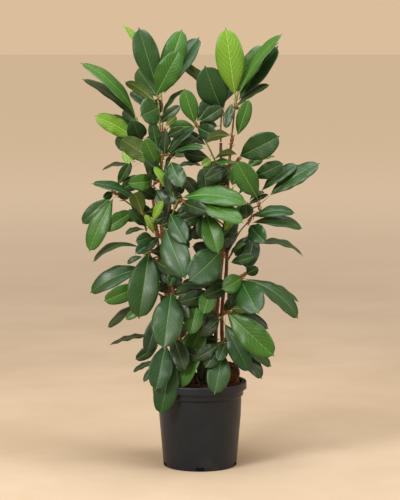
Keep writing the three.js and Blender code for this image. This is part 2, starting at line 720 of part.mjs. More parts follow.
// ---------------------------------------------------------------- assembly
function twinOf(shoot) {
  const leaves = shoot.leaves
    .filter((row) => row[5] >= TWIN.minWidth)
    .map(([baseX, baseZ, tipX, tipZ, reach, shown, arch, side, age]) => {
      const far = THREE.MathUtils.lerp(baseX, tipX, TWIN.shrink);
      const end = THREE.MathUtils.lerp(baseZ, tipZ, TWIN.shrink);
      const back = Math.max(TWIN.minReach, Math.abs(reach) * TWIN.moreReach);
      return [baseX, baseZ, far, end, back, shown * TWIN.shrink, arch, TOP, Math.max(age, MATURE)];
    });
  const twig = shoot.twig.map(([x, y, z], place) => (
    [x, -y + TWIN.deeper * (place ? 1 : TWIN.rootShare), z]));
  return { ...shoot, twig, leaves, facing: -1, from: shoot.from + TWIN.higher };
}

// Rows for a shoot's inner leaves, each tilted differently from the ones before it.
function innerRows(shoot, reaches, order) {
  if (shoot.from >= INNER.below) {
    return [];
  }
  return reaches.map((reach, place) => {
    const [x, , z] = shoot.twig[place % shoot.twig.length];
    const share = ((order * reaches.length + place + 1) * GOLDEN_SHARE) % 1;
    const tilt = THREE.MathUtils.lerp(INNER_TILT.lowest, INNER_TILT.highest, share) * (Math.PI / 180);
    const inward = -Math.sign(x) * Math.cos(tilt);
    const end = INNER.stalk + INNER.length;
    return [
      x + inward * INNER.stalk, z + Math.sin(tilt) * INNER.stalk,
      x + inward * end, z + Math.sin(tilt) * end,
      reach, INNER.width, INNER.arch, TOP, OLD,
    ];
  });
}

function allShoots() {
  const shoots = {};
  Object.entries(SHOOTS).forEach(([name, shoot], order) => {
    const inner = innerRows(shoot, INNER_REACH.front, order);
    shoots[`shoot_${name}`] = { ...shoot, facing: 1, inner };
  });
  TWINS.forEach((name, order) => {
    const twin = twinOf(SHOOTS[name]);
    shoots[`shoot_${name}_back`] = { ...twin, inner: innerRows(twin, INNER_REACH.twin, order) };
  });
  return shoots;
}

// The pot, the soil, the root balls and the stems, which the shoots must stay clear of.
function makeBase() {
  const stems = Object.keys(STEMS);
  const grownStems = stems.map((stem) => makeStem(stem, GAP));
  const solids = { pot: makePot(), potting_soil: makeSoil() };
  for (const [name, ball] of Object.entries(ROOT_BALLS)) {
    solids[name] = grownStems.reduce((rest, stem) => rest.subtract(stem), rootBall(...ball));
  }
  const fixed = [...grownStems, ...Object.values(solids)].map(obstacle);
  for (const stem of stems) {
    solids[stem] = makeStem(stem);
  }
  return { solids, grownStems, fixed };
}

// Every shoot's twig, cut clear of the stems and of the twigs before it.
function makeTwigs(shoots, grownStems) {
  const twigs = {};
  const taken = [...grownStems];
  for (const [name, shoot] of Object.entries(shoots)) {
    const curve = twigCurve(shoot);
    const steps = 1 + shoot.twig.length;
    const turn = TURNED_TWIGS[name] ?? 0;
    const whole = toManifold(branch(curve, TWIG_RADIUS, TWIG_SIDES, steps, { turn }));
    const grown = toManifold(branch(curve, TWIG_RADIUS, TWIG_SIDES, steps, { turn, grow: GAP }));
    twigs[name] = {
      centres: curve.getSpacedPoints(steps),
      solid: largestBody(taken.reduce((twig, other) => twig.subtract(other), whole)),
      grown: obstacle(grown),
    };
    taken.push(grown);
  }
  return twigs;
}

// Hangs one leaf on a twig, in the first place where it is clear of everything else.
function hangLeaf(row, name, shoot, twigs, fixed, placed) {
  const own = twigs[name];
  const otherTwigs = Object.values(twigs).filter((twig) => twig !== own).map((twig) => twig.grown);
  const strangers = placed.filter((item) => item.shoot !== name).map((item) => item.whole);
  const sisters = placed.filter((item) => item.shoot === name);
  for (const shift of depthShifts()) {
    const leaf = placeLeaf(row, own.centres, shoot.facing, shift);
    const whole = leafSolid(leaf, { grow: GAP });
    const blade = leafSolid(leaf, { stalk: false, grow: GAP });
    const blocked = touches(whole, [...fixed, ...otherTwigs, ...strangers])
      || touches(blade, [own.grown, ...sisters.map((item) => item.whole)])
      || touches(whole, sisters.map((item) => item.blade));
    if (!blocked) {
      placed.push({ shoot: name, whole: obstacle(whole), blade: obstacle(blade) });
      own.solid = own.solid.add(leafSolid(leaf));
      return true;
    }
  }
  return false;
}

// The leaves of the layout are hung first. An inner leaf that has no room is left out.
function buildPlant() {
  const { solids, grownStems, fixed } = makeBase();
  const shoots = allShoots();
  const twigs = makeTwigs(shoots, grownStems);
  const placed = [];
  for (const kind of ['leaves', 'inner']) {
    for (const [name, shoot] of Object.entries(shoots)) {
      for (const row of shoot[kind]) {
        const hung = hangLeaf(row, name, shoot, twigs, fixed, placed);
        if (!hung && kind === 'leaves') {
          throw new Error(`no room for a leaf of ${name}`);
        }
      }
    }
  }
  for (const [name, twig] of Object.entries(twigs)) {
    solids[name] = largestBody(twig.solid.simplify(SMALLEST_EDGE));
  }
  return { solids, shoots };
}

// ---------------------------------------------------------------- materials
const MATERIALS = {
  pot: { color: 0x2d2d2e, roughness: 0.45 },
  potting_soil: { color: 0x5a3219, roughness: 0.95 },
  root_ball: { color: 0x8a4d24, roughness: 0.95 },
  stem: { color: 0x6b3d22, roughness: 0.8 },
};
const LEAF_ROUGHNESS = 0.4;

// A shoot takes the colour of the age that most of its leaves are near.
function materialFor(name, shoot) {
  if (shoot) {
    const ages = shoot.leaves.map((row) => row.at(-1));
    const typical = Math.round(ages.reduce((sum, age) => sum + age, 0) / ages.length);
    return new THREE.MeshStandardMaterial({ color: LEAF_COLOUR[typical], roughness: LEAF_ROUGHNESS });
  }
  const kind = Object.keys(MATERIALS).find((start) => name.startsWith(start) && start !== 'pot');
  return new THREE.MeshStandardMaterial(MATERIALS[kind ?? 'pot']);
}

const { solids, shoots } = buildPlant();
const plant = new THREE.Group();
for (const [name, solid] of Object.entries(solids)) {
  const mesh = new THREE.Mesh(toGeometry(solid), materialFor(name, shoots[name]));
  mesh.name = name;
  plant.add(mesh);
}

export default plant;
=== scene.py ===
"""A potted African fig: the looks of every leaf, twig, stem, the soil and the pot.

Metres, +Z up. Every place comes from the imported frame: the leaf skeletons, the stems and the
pot's size are read from the CAD solids, and the fine meshes are built on them.
"""
import math
import random

import bmesh
import bpy
from mathutils import Matrix, Vector, noise


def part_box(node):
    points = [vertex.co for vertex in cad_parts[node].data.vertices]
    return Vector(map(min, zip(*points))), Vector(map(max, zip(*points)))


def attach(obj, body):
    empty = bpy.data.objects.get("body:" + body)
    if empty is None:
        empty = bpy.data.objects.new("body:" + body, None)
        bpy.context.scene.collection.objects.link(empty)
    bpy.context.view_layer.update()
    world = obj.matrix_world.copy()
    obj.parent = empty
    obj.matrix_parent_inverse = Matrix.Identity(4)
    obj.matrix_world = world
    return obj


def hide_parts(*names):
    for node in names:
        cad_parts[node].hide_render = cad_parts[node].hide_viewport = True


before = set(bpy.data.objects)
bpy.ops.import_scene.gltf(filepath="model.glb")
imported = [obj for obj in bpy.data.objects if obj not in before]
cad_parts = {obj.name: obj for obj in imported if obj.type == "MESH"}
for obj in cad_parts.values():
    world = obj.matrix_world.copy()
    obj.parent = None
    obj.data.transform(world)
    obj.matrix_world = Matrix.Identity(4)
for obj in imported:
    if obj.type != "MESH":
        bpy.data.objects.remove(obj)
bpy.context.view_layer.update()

MM = 0.001

# ------------------------------------------------------------------ leaf shape
BLADE_RINGS = (0.0, 0.36, 0.74)  # where the CAD blade's rings lie along the leaf
RING_SHARE = (None, 0.90, 0.86)  # the part of the full half-width that each ring has
AGE_THICKNESS = (1.2 * MM, 1.5 * MM, 1.8 * MM, 2.1 * MM)  # CAD thickness by age: new to old
LEAF_THICKNESS = 0.7 * MM
STEPS_ALONG = 30
ACROSS = (0.0, 0.05, 0.2, 0.4, 0.62, 0.84, 1.0)
DRIP_TIP = 0.965  # the blade proper ends here, and the drip tip follows
VEIN_PAIRS = 11

# Ranges that each leaf draws its own shape from.
LEAF_CURL = (-0.05, 0.10)
LEAF_FOLD = (0.15, 0.30)
LEAF_WAVE_HEIGHT = (0.9, 2.4)  # millimetres
LEAF_WAVES = (2.2, 4.0)
LEAF_TWIST = (-0.25, 0.25)
LEAF_DROOP = (0.0, 0.05)

# ------------------------------------------------------------------ pot and soil sizes
SOIL_BELOW_RIM = 7 * MM
RIM_DEPTH = 19 * MM
POT_RIM, POT_COLLAR, POT_BODY, POT_BASE = 120, 111.5, 107, 94  # radii, as shares of the rim's
POT_SEGMENTS = 144
SLOTS = 5
SLOT_DEPTH, SLOT_WIDTH, SLOT_HEIGHT = 8 * MM, 11 * MM, 9 * MM
SLOT_FOOT = 2.3 * MM
CHIPS = 520
STRANDS = 420
STRAND_STEPS = 7
THIRD_TURN = 2.094
STIPULES = 12
STIPULE_TURN = 2.4  # radians from one stipule to the next, round the twig


# ------------------------------------------------------------------ mesh helpers
def new_object(name, vertices, faces, materials, smooth=True):
    mesh = bpy.data.meshes.new(name)
    mesh.from_pydata([tuple(v) for v in vertices], [], faces)
    mesh.validate()
    for material in materials:
        mesh.materials.append(material)
    if smooth:
        mesh.shade_smooth()
    else:
        mesh.shade_flat()
    piece = bpy.data.objects.new(name, mesh)
    bpy.context.scene.collection.objects.link(piece)
    return piece


def add_attribute(mesh, name, values):
    attribute = mesh.attributes.new(name, "FLOAT", "POINT")
    attribute.data.foreach_set("value", values)


def declare(piece, slot, *nodes):
    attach(piece, "root")
    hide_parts(*nodes)


def welded(node):
    """The CAD node's mesh as a bmesh, with its shared vertices merged."""
    mesh = bmesh.new()
    mesh.from_mesh(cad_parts[node].data)
    bmesh.ops.remove_doubles(mesh, verts=mesh.verts, dist=0.004 * MM)
    mesh.verts.ensure_lookup_table()
    return mesh


def rings_from(tip, size, last=None):
    """Walks from a pointed end, ring by ring, for as long as each ring has that many vertices.

    The ring numbered last may have any number: it is where the leaf's stalk is joined on.
    """
    seen = {tip}
    ring = [tip]
    rings = []
    while True:
        following = {edge.other_vert(v) for v in ring for edge in v.link_edges} - seen
        if len(following) != size and (len(rings) != last or not following):
            return rings
        ring = list(following)
        seen |= following
        rings.append(ring)


def centre_of(ring):
    return sum((v.co for v in ring), Vector()) / len(ring)


# ------------------------------------------------------------------ leaf skeletons
class Leaf:
    """A leaf's midrib, width, upper side and age, read from its CAD solid."""

    def __init__(self, tip, rings, key):
        rings = [list(ring) for ring in rings[::-1]]
        self.key = key
        self.tip = tip.co.copy()
        self.base = centre_of(rings[0])
        second = rings[1]
        left, right = self.far_pair(second)
        middle = [v for v in second if v not in (left, right)]
        edge_middle = (left.co + right.co) / 2
        rib_middle = (middle[0].co + middle[1].co) / 2
        thickness = (middle[0].co - middle[1].co).length
        ages = [abs(thickness - value) for value in AGE_THICKNESS]
        self.age = ages.index(min(ages))
        self.half_width = (left.co - right.co).length / 2 / RING_SHARE[1]
        self.control = self.fit_control(rings)
        along = (self.tip - self.base).normalized()
        across = (right.co - left.co).normalized()
        up = (edge_middle - rib_middle).normalized()
        across = (across - along * across.dot(along)).normalized()
        if across.cross(along).dot(up) < 0:
            across = -across
        self.across = across
        self.length = (self.tip - self.base).length

    @staticmethod
    def far_pair(ring):
        pairs = [(a, b) for i, a in enumerate(ring) for b in ring[i + 1:]]
        return max(pairs, key=lambda pair: (pair[0].co - pair[1].co).length)

    def fit_control(self, rings):
        """The middle point of the quadratic curve that the CAD midrib follows."""
        total = Vector()
        for t, ring in zip(BLADE_RINGS[1:], rings[1:]):
            pair = self.far_pair(ring)
            middle = [v for v in ring if v not in pair]
            point = (middle[0].co + middle[1].co) / 2
            total += (point - self.base * (1 - t) ** 2 - self.tip * t ** 2) / (2 * t * (1 - t))
        return total / (len(rings) - 1)

    def midrib(self, t):
        s = 1 - t
        return self.base * s * s + self.control * 2 * s * t + self.tip * t * t

    def tangent(self, t):
        return ((self.control - self.base) * (1 - t) + (self.tip - self.control) * t).normalized()


def read_leaves(node):
    """Every leaf of a shoot, and the shoot's mesh without its blades."""
    mesh = welded(node)
    leaves = []
    blades = set()
    for vertex in mesh.verts:
        if len(vertex.link_edges) != 4:
            continue
        rings = rings_from(vertex, 4, last=2)[:3]
        if len(rings) < 3:
            continue
        stalk = max((a.co - b.co).length for a in rings[2] for b in rings[2])
        blade = max((a.co - b.co).length for a in rings[1] for b in rings[1])
        if stalk > max(9 * MM, blade) or blade < 7 * MM:
            continue
        leaves.append(Leaf(vertex, rings, f"{node}:{len(leaves)}"))
        blades |= {vertex, *rings[0], *rings[1]}
    bmesh.ops.delete(mesh, geom=list(blades), context="VERTS")
    return leaves, mesh


# ------------------------------------------------------------------ fine leaves
def outline(t):
    """Half-width along the leaf: a wedge at the stalk, widest past the middle, a drip tip."""
    body = min(t / DRIP_TIP, 1)
    fullness = 0.76 - 0.36 * body
    wide = math.sin(math.pi * body ** 1.28) ** fullness if 0 < body < 1 else 0
    tail = 0.085 * max(0.0, (1.01 - t) / (1.01 - DRIP_TIP)) ** 0.9 if t > 0.8 else 0
    stalk = 0.035 * (1 - t)
    return max(wide, tail, stalk)


def vein_relief(t, v):
    """The blade swells between its side veins, which leave the midrib and bend forward."""
    phase = (t - 0.30 * abs(v) ** 1.25) * VEIN_PAIRS
    return math.cos(2 * math.pi * phase) * min(1, abs(v) * 5) * (1 - abs(v) ** 6)


def leaf_faces(start, count, faces):
    """Both sides of a leaf, joined along its margins and at its two ends."""
    layer = (STEPS_ALONG + 1) * count

    def at(side, step, column):
        return start + side * layer + step * count + column

    for step in range(STEPS_ALONG):
        for column in range(count - 1):
            faces.append((at(0, step, column), at(0, step, column + 1),
                          at(0, step + 1, column + 1), at(0, step + 1, column)))
            faces.append((at(1, step, column), at(1, step + 1, column),
                          at(1, step + 1, column + 1), at(1, step, column + 1)))
        for column, flip in ((0, False), (count - 1, True)):
            rim = (at(0, step, column), at(0, step + 1, column),
                   at(1, step + 1, column), at(1, step, column))
            faces.append(rim[::-1] if flip else rim)
    for step, flip in ((0, True), (STEPS_ALONG, False)):
        for column in range(count - 1):
            end = (at(0, step, column), at(0, step, column + 1),
                   at(1, step, column + 1), at(1, step, column))
            faces.append(end if flip else end[::-1])


def fine_leaf(leaf, vertices, faces, data):
    """Adds one leaf: an upper and a lower skin on its midrib, folded, curled and wavy."""
    draw = random.Random(leaf.key)
    seed = draw.random()
    curl = draw.uniform(*LEAF_CURL)
    fold = draw.uniform(*LEAF_FOLD)
    wave = draw.uniform(*LEAF_WAVE_HEIGHT) * MM * min(1, leaf.half_width / (25 * MM))
    waves = draw.uniform(*LEAF_WAVES)
    phase = (draw.uniform(0, 6.28), draw.uniform(0, 6.28))
    twist = draw.uniform(*LEAF_TWIST)
    droop = draw.uniform(*LEAF_DROOP) * leaf.length
    columns = [-v for v in ACROSS[:0:-1]] + list(ACROSS)
    start = len(vertices)
    count = len(columns)

    for side in (1, -1):
        for step in range(STEPS_ALONG + 1):
            t = step / STEPS_ALONG
            centre = leaf.midrib(t)
            tangent = leaf.tangent(t)
            up = leaf.across.cross(tangent).normalized()
            turn = Matrix.Rotation(twist * (t - 0.3), 3, tangent)
            across = turn @ leaf.across
            up = turn @ up
            half = outline(t) * leaf.half_width
            centre = centre - up * droop * t * t
            for v in columns:
                reach = abs(v)
                rise = fold * half * reach ** 1.25 - (curl + 0.16) * half * reach ** 3.2
                which = 0 if v < 0 else 1
                ripple = wave * math.sin(waves * 6.28 * t + phase[which])
                rise += ripple * reach ** 2 * math.sin(math.pi * t)
                rise += 0.28 * MM * vein_relief(t, v) * min(1, half / (12 * MM))
                thick = LEAF_THICKNESS / 2 * (1 - 0.6 * reach ** 4)
                rib = max(0, 1 - reach * half / (1.3 * MM))
                if side > 0:
                    lift = thick - 0.35 * MM * rib
                else:
                    lift = -thick - 0.75 * MM * rib * (1.1 - t)
                vertices.append(centre + across * v * half + up * (rise + lift))
                data["u"].append(t)
                data["v"].append(v)
                data["half"].append(half / MM)
                data["length"].append(leaf.length / MM)
                data["under"].append(0.0 if side > 0 else 1.0)
                data["age"].append(leaf.age / 3)
                data["seed"].append(seed)
    leaf_faces(start, count, faces)


def make_leaves(node, leaves, material):
    vertices, faces = [], []
    data = {key: [] for key in ("u", "v", "half", "length", "under", "age", "seed")}
    for leaf in leaves:
        fine_leaf(leaf, vertices, faces, data)
    piece = new_object(node.replace("shoot", "leaves"), vertices, faces, [material])
    for name, values in data.items():
        add_attribute(piece.data, f"leaf_{name}", values)
    declare(piece, "leaf", node)
    return piece


# ------------------------------------------------------------------ twigs
TWIG_VOXEL = 1.15 * MM


def remeshed(piece, voxel, smooth_rounds):
    remesh = piece.modifiers.new("remesh", "REMESH")
    remesh.mode = "VOXEL"
    remesh.voxel_size = voxel
    smooth = piece.modifiers.new("smooth", "SMOOTH")
    smooth.iterations = smooth_rounds
    smooth.factor = 0.5
    depsgraph = bpy.context.evaluated_depsgraph_get()
    mesh = bpy.data.meshes.new_from_object(piece.evaluated_get(depsgraph))
    piece.modifiers.clear()
    old = piece.data
    piece.data = mesh
    bpy.data.meshes.remove(old)
    mesh.shade_smooth()


def bark_offset(co):
    """Knots and growth rings on young bark."""
    coarse = noise.noise(co * 90)
    fine = noise.noise(co * 420)
    return (0.35 * coarse + 0.18 * fine) * MM


def twig_end(mesh, stems):
    """The apex of the twig's bud and the direction that it points.

    It is the sharpest corner that isn't where the twig meets a stem.
    """
    def corner(vertex):
        return sum(loop.calc_angle() for loop in vertex.link_loops)

    def on_stem(vertex):
        return min((vertex.co - point).length for point in stems) < 13 * MM

    closed = [v for v in mesh.verts if v.link_faces and not v.is_boundary and not on_stem(v)]
    apex = min(closed, key=corner)
    ring = [edge.other_vert(apex) for edge in apex.link_edges]
    return apex.co.copy(), (apex.co - centre_of(ring)).normalized()


def stipule(vertices, faces, root, direction, outward, length, width, curl):
    """A papery scale: a long pointed cup that wraps the shoot and bends away at its tip."""
    side = direction.cross(outward).normalized()
    steps = 6
    start = len(vertices)
    columns = (-1, -0.5, 0, 0.5, 1)
    for skin in (0, 1):
        for step in range(steps + 1):
            t = step / steps
            half = width / 2 * (math.sin(math.pi * min(1, 0.22 + 0.78 * t)) ** 0.8 + 0.04)
            bend = curl * t * t * length
            for v in columns:
                cup = (1 - v * v) * half * 0.55
                vertices.append(root + direction * length * t + side * v * half
                                + outward * (bend + cup + 0.35 * MM * skin))
    count = len(columns)
    layer = (steps + 1) * count
    for step in range(steps):
        for column in range(count - 1):
            a = start + step * count + column
            faces.append((a, a + count, a + count + 1, a + 1))
            b = a + layer
            faces.append((b, b + 1, b + count + 1, b + count))
        for column, flip in ((0, True), (count - 1, False)):
            a = start + step * count + column
            rim = (a, a + count, a + count + layer, a + layer)
            faces.append(rim[::-1] if flip else rim)
    for step, flip in ((0, False), (steps, True)):
        for column in range(count - 1):
            a = start + step * count + column
            end = (a, a + 1, a + 1 + layer, a + layer)
            faces.append(end[::-1] if flip else end)


def make_stipules(node, end, material):
    apex, direction = end
    draw = random.Random(node + "stipules")
    vertices, faces = [], []
    reference = Vector((0, 0, 1)) if abs(direction.z) < 0.8 else Vector((0, 1, 0))
    first = direction.cross(reference).normalized()
    for order in range(STIPULES):
        angle = order * STIPULE_TURN + draw.uniform(-0.3, 0.3)
        outward = Matrix.Rotation(angle, 3, direction) @ first
        back = (order - 1) * 3.0 * MM if order > 1 else 2 * MM
        root = apex - direction * (6 * MM + back) + outward * 1.8 * MM
        lean = 0.10 + 0.045 * order
        heading = (direction + outward * lean).normalized()
        length = (17 if order < 2 else draw.uniform(8, 13)) * MM
        stipule(vertices, faces, root, heading, outward, length,
                draw.uniform(4.2, 5.8) * MM, draw.uniform(-0.05, 0.25))
    piece = new_object(node.replace("shoot", "stipules"), vertices, faces, [material])
    declare(piece, "bark", node)
    return piece


def make_twig(node, mesh, leaves, material):
    """The twig and its leaf stalks, rounded and knotted."""
    bmesh.ops.holes_fill(mesh, edges=mesh.edges[:], sides=0)
    bmesh.ops.triangulate(mesh, faces=mesh.faces[:])
    data = bpy.data.meshes.new(node)
    mesh.to_mesh(data)
    mesh.free()
    piece = bpy.data.objects.new(node.replace("shoot", "twig"), data)
    bpy.context.scene.collection.objects.link(piece)
    remeshed(piece, TWIG_VOXEL, 3)
    piece.data.materials.append(material)
    green = []
    for vertex in piece.data.vertices:
        near = min(((vertex.co - leaf.base).length for leaf in leaves), default=1)
        green.append(max(0.0, min(1.0, 1.25 - near / (16 * MM))))
        vertex.co += vertex.normal * bark_offset(vertex.co) * (1 - 0.8 * green[-1])
    add_attribute(piece.data, "green", green)
    declare(piece, "bark", node)
    return piece


# ------------------------------------------------------------------ stems
def stem_rings(node):
    """The centres and radii of the rings of a stem's CAD solid, from its foot up."""
    mesh = welded(node)
    best = []
    for vertex in mesh.verts:
        if len(vertex.link_edges) != 6:
            continue
        rings = rings_from(vertex, 6)
        if len(rings) > len(best):
            best = [[v.co.copy() for v in ring] for ring in rings]
    mesh.free()
    centres = [sum(ring, Vector()) / 6 for ring in best]
    radii = [sum((p - c).length for p in ring) / 6 for ring, c in zip(best, centres)]
    return centres[::-1], radii[::-1]


def catmull(points, t):
    """A smooth curve through evenly spaced points, t from 0 to 1."""
    spans = len(points) - 1
    place = min(t * spans, spans - 1e-6)
    i = int(place)
    f = place - i
    p = [points[max(0, min(spans, i + k))] for k in (-1, 0, 1, 2)]
    return (p[1] * 2 + (p[2] - p[0]) * f + (p[0] * 2 - p[1] * 5 + p[2] * 4 - p[3]) * f ** 2
            + (p[1] * 3 - p[0] - p[2] * 3 + p[3]) * f ** 3) / 2


def stem_points():
    """Points along the middle of every stem, a few millimetres apart."""
    points = []
    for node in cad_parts:
        if node.startswith("stem"):
            centres = stem_rings(node)[0]
            points += [catmull(centres, step / 120) for step in range(121)]
    return points


def make_stem(node, material):
    """A woody stem with leaf scars: raised rings where old leaves sat."""
    centres, radii = stem_rings(node)
    draw = random.Random(node)
    length = sum((a - b).length for a, b in zip(centres, centres[1:]))
    steps = int(length / (2.2 * MM))
    sides = 16
    scars = []
    place = 0.1
    while place < 1:
        scars.append(place)
        place += draw.uniform(16, 30) * MM / length
    vertices, faces = [], []
    normal = Vector((0, -1, 0))
    for step in range(steps + 1):
        t = step / steps
        centre = catmull(centres, t)
        after = catmull(centres, min(1, t + 0.01))
        before = catmull(centres, max(0, t - 0.01))
        ahead = (after - before).normalized()
        normal = (normal - ahead * normal.dot(ahead)).normalized()
        side = ahead.cross(normal)
        place = t * (len(radii) - 1)
        i = min(int(place), len(radii) - 2)
        radius = radii[i] + (radii[i + 1] - radii[i]) * (place - i)
        swell = max(math.exp(-((t - s) * length / (1.5 * MM)) ** 2) for s in scars)
        for k in range(sides):
            angle = 2 * math.pi * k / sides
            out = normal * math.cos(angle) + side * math.sin(angle)
            point = centre + out * radius
            ridge = 0.30 * MM * noise.noise(Vector((point.x * 260, point.y * 260, point.z * 40)))
            knot = 0.5 * MM * noise.noise(point * 75)
            vertices.append(centre + out * (radius + 0.55 * MM * swell + ridge + knot))
    for step in range(steps):
        for k in range(sides):
            a, b = step * sides + k, step * sides + (k + 1) % sides
            faces.append((a, b, b + sides, a + sides))
    faces.append(tuple(range(sides))[::-1])
    faces.append(tuple(steps * sides + k for k in range(sides)))
    piece = new_object(node.replace("stem", "woody_stem"), vertices, faces, [material])
    declare(piece, "bark", node)
    return piece


# ------------------------------------------------------------------ pot
def lathe(name, profile, segments, materials, smooth=True):
    """Turns a profile of (radius, height) round the Z axis. It starts and ends on the axis."""
    vertices, faces, rings = [], [], []
    for radius, height in profile:
        if radius == 0:
            rings.append([len(vertices)] * segments)
            vertices.append((0, 0, height))
            continue
        rings.append([len(vertices) + k for k in range(segments)])
        for k in range(segments):
            angle = 2 * math.pi * (k + 0.5) / segments
            vertices.append((radius * math.cos(angle), radius * math.sin(angle), height))
    for lower, upper in zip(rings, rings[1:]):
        for k in range(segments):
            n = (k + 1) % segments
            corners = (lower[k], lower[n], upper[n], upper[k])
            faces.append(tuple(dict.fromkeys(corners)))
    return new_object(name, vertices, faces, materials, smooth)


def arc(centre, radius, start, end, steps):
    """Points of an arc in the (radius, height) plane, angles in degrees."""
    points = []
    for step in range(steps + 1):
        angle = math.radians(start + (end - start) * step / steps)
        points.append((centre[0] + radius * math.cos(angle), centre[1] + radius * math.sin(angle)))
    return points


def pot_profile(rim, height):
    """The pot's section: up the outside, over the rim and down the inside."""
    base = rim * POT_BASE / POT_RIM
    collar = rim * POT_COLLAR / POT_RIM
    body = rim * POT_BODY / POT_RIM
    wall = 2.2 * MM
    lip = 1.6 * MM
    collar_low = height - 35 * MM
    outside = [
        (0, 3.0 * MM), (base - 14 * MM, 3.0 * MM), (base - 13 * MM, 1.2 * MM), (base - 11 * MM, 0),
        *arc((base - 2 * MM, 2 * MM), 2 * MM, -90, -10, 5),
        (base + 0.5 * MM, 6 * MM), (base + 1.0 * MM, 12 * MM),
        (body - 2.0 * MM, 130 * MM), (body - 0.3 * MM, collar_low - 6 * MM),
        *arc((body - 0.3 * MM + 2.2 * MM, collar_low - 5 * MM), 2.2 * MM, 180, 110, 3),
        *arc((collar - 1.6 * MM, collar_low + 1.4 * MM), 1.6 * MM, -60, 0, 3),
        (collar, height - 5.2 * MM),
        (rim - 3.4 * MM, height - 4.4 * MM), (rim - 2.6 * MM, height - RIM_DEPTH + 1 * MM),
        *arc((rim - 1.3 * MM, height - RIM_DEPTH + 1.3 * MM), 1.3 * MM, 180, 360, 6),
        (rim - 0.2 * MM, height - 12 * MM), (rim - 0.4 * MM, height - 5 * MM),
        *arc((rim - 0.4 * MM - 2.6 * MM, height - 2.6 * MM), 2.6 * MM, 0, 90, 6),
        *arc((collar - 0.2 * MM, height - lip), lip, 90, 180, 5),
    ]
    inside = [
        (collar - wall, height - 6 * MM), (collar - wall, collar_low + 2 * MM),
        (body - wall - 0.6 * MM, collar_low - 4 * MM), (body - wall - 2 * MM, 130 * MM),
        (base - wall + 0.8 * MM, 5.5 * MM), (base - wall - 1 * MM, 4.8 * MM), (0, 4.8 * MM),
    ]
    return outside + inside


def cut_slots(piece, base):
    """Drain slots at the base's corner, cut with plain boxes."""
    cutters = []
    for slot in range(SLOTS):
        angle = -math.pi / 2 + slot * 2 * math.pi / SLOTS
        turned = Matrix.Rotation(angle, 3, "Z")
        corners = [turned @ Vector((base + x * SLOT_DEPTH, y * SLOT_WIDTH, SLOT_FOOT + z * SLOT_HEIGHT))
                   for x in (-1, 1) for y in (-1, 1) for z in (0, 1)]
        faces = [(0, 1, 3, 2), (4, 6, 7, 5), (0, 4, 5, 1), (2, 3, 7, 6), (0, 2, 6, 4), (1, 5, 7, 3)]
        cutter = new_object(f"cutter_{slot}", corners, faces, [])
        cut = piece.modifiers.new("slot", "BOOLEAN")
        cut.operation = "DIFFERENCE"
        cut.solver = "EXACT"
        cut.object = cutter
        cutters.append(cutter)
    depsgraph = bpy.context.evaluated_depsgraph_get()
    mesh = bpy.data.meshes.new_from_object(piece.evaluated_get(depsgraph))
    piece.modifiers.clear()
    piece.data = mesh
    for cutter in cutters:
        bpy.data.objects.remove(cutter)


def make_pot(material):
    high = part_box("pot")[1]
    rim, height = high.x, high.z
    piece = lathe("nursery_pot", pot_profile(rim, height), POT_SEGMENTS, [material])
    cut_slots(piece, rim * POT_BASE / POT_RIM)
    piece.data.shade_smooth()
    piece.data.set_sharp_from_angle(angle=math.radians(38))
    declare(piece, "pot_plastic", "pot")
    return piece


# ------------------------------------------------------------------ soil and root balls
def crumble(co, scale, height):
    """The height of crumbly ground at a point."""
    value = noise.noise(co * scale) + 0.5 * noise.noise(co * scale * 2.3)
    value += 0.35 * noise.noise(co * scale * 5.1)
    return value * height


def make_soil(material):
    """Crumbly ground on top, and a plain skirt and foot inside the pot."""
    pot_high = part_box("pot")[1]
    radius = pot_high.x * POT_COLLAR / POT_RIM - 2.9 * MM
    top = pot_high.z - SOIL_BELOW_RIM
    rings, sides = 46, 120
    vertices, faces = [Vector((0, 0, top))], []
    for ring in range(1, rings + 1):
        reach = radius * ring / rings
        for k in range(sides):
            angle = 2 * math.pi * k / sides
            point = Vector((reach * math.cos(angle), reach * math.sin(angle), 0))
            edge = 1 - (ring / rings) ** 8
            lift = crumble(point, 55, 2.6 * MM) * edge + crumble(point, 210, 1.1 * MM)
            height = top + min(lift, 3.2 * MM) - 2.5 * MM * (1 - edge)
            vertices.append(point + Vector((0, 0, height)))
    for k in range(sides):
        faces.append((0, 1 + k, 1 + (k + 1) % sides))
    for ring in range(rings - 1):
        for k in range(sides):
            a = 1 + ring * sides + k
            b = 1 + ring * sides + (k + 1) % sides
            faces.append((a, a + sides, b + sides, b))
    skirt = len(vertices)
    inner = pot_high.x * POT_BASE / POT_RIM - 2.2 * MM
    skirt_rows = ((radius, top - 26 * MM), (radius - 4.5 * MM, top - 34 * MM), (inner, 5.4 * MM))
    for reach, height in skirt_rows:
        for k in range(sides):
            angle = 2 * math.pi * k / sides
            vertices.append(Vector((reach * math.cos(angle), reach * math.sin(angle), height)))
    previous = 1 + (rings - 1) * sides
    for row in range(len(skirt_rows)):
        for k in range(sides):
            n = (k + 1) % sides
            now = skirt + row * sides
            faces.append((previous + k, now + k, now + n, previous + n))
        previous = skirt + row * sides
    faces.append(tuple(previous + k for k in range(sides))[::-1])
    piece = new_object("soil_surface", vertices, faces, [material])
    declare(piece, "potting_mix", "potting_soil")
    return piece


CHIP_FACES = ((0, 1, 2, 3), (7, 6, 5, 4), (0, 4, 5, 1), (1, 5, 6, 2), (2, 6, 7, 3), (3, 7, 4, 0))


